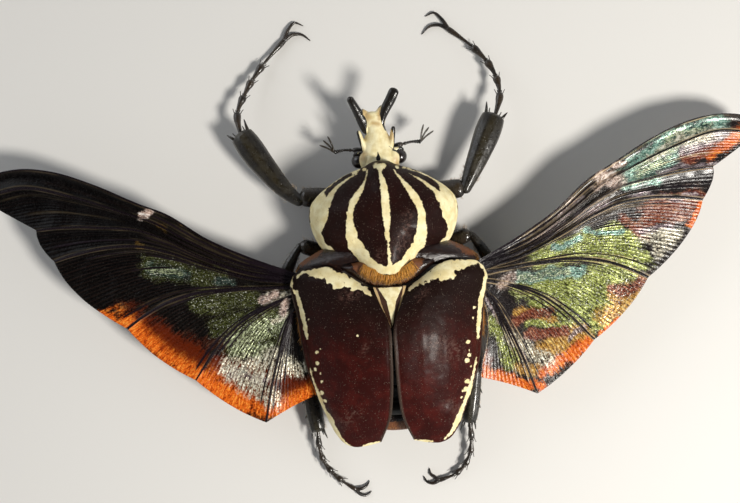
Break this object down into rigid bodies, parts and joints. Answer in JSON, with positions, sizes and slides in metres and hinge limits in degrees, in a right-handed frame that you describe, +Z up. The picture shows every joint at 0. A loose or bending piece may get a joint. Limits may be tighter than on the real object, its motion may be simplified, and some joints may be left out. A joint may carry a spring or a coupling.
{
  "type": "goliath beetle",
  "caption": "Goliath beetle at life size with its hind wings spread: striped shield, closed wing cases, forked horn, legs reaching forward and back",
  "frame": {"origin": "on the floor, under the middle of the flat below the rear thorax that the beetle rests on", "axes": "+Z is up, +Y points to the head, and +X points to the beetle's own right, along its spread wings"},
  "size_m": [0.2261, 0.1422, 0.0279],
  "materials": {
    "cream_scale": "fine ivory scales, satin",
    "maroon_velvet": "dark maroon, velvety",
    "black_chitin": "polished black-brown shell",
    "brown_chitin": "polished dark brown shell",
    "rust_velvet": "short rust-brown hair over the shell",
    "wing_membrane": "thin veined membrane with an oily sheen",
    "eye_black": "glossy black"
  },
  "bodies": {
    "root": {"abdomen": "black_chitin", "antenna_left": "black_chitin", "antenna_right": "black_chitin", "elytron_left": "maroon_velvet", "elytron_right": "maroon_velvet", "eye_left": "eye_black", "eye_right": "eye_black", "fore_femur_left": "black_chitin", "fore_femur_right": "black_chitin", "fore_tarsus_left": "black_chitin", "fore_tarsus_right": "black_chitin", "fore_tibia_left": "brown_chitin", "fore_tibia_right": "brown_chitin", "head": "cream_scale", "hind_femur_left": "black_chitin", "hind_femur_right": "black_chitin", "hind_tarsus_left": "black_chitin", "hind_tarsus_right": "black_chitin", "hind_tibia_left": "brown_chitin", "hind_tibia_right": "brown_chitin", "horn": "black_chitin", "mesoscutum": "rust_velvet", "mesothorax": "rust_velvet", "metathorax": "brown_chitin", "mid_femur_left": "black_chitin", "mid_femur_right": "black_chitin", "mid_tarsus_left": "black_chitin", "mid_tarsus_right": "black_chitin", "mid_tibia_left": "brown_chitin", "mid_tibia_right": "brown_chitin", "mouthparts": "brown_chitin", "prothorax": "maroon_velvet", "pygidium": "rust_velvet", "scutellum": "cream_scale", "wing_left": "wing_membrane", "wing_right": "wing_membrane"}
  },
  "joints": []
}
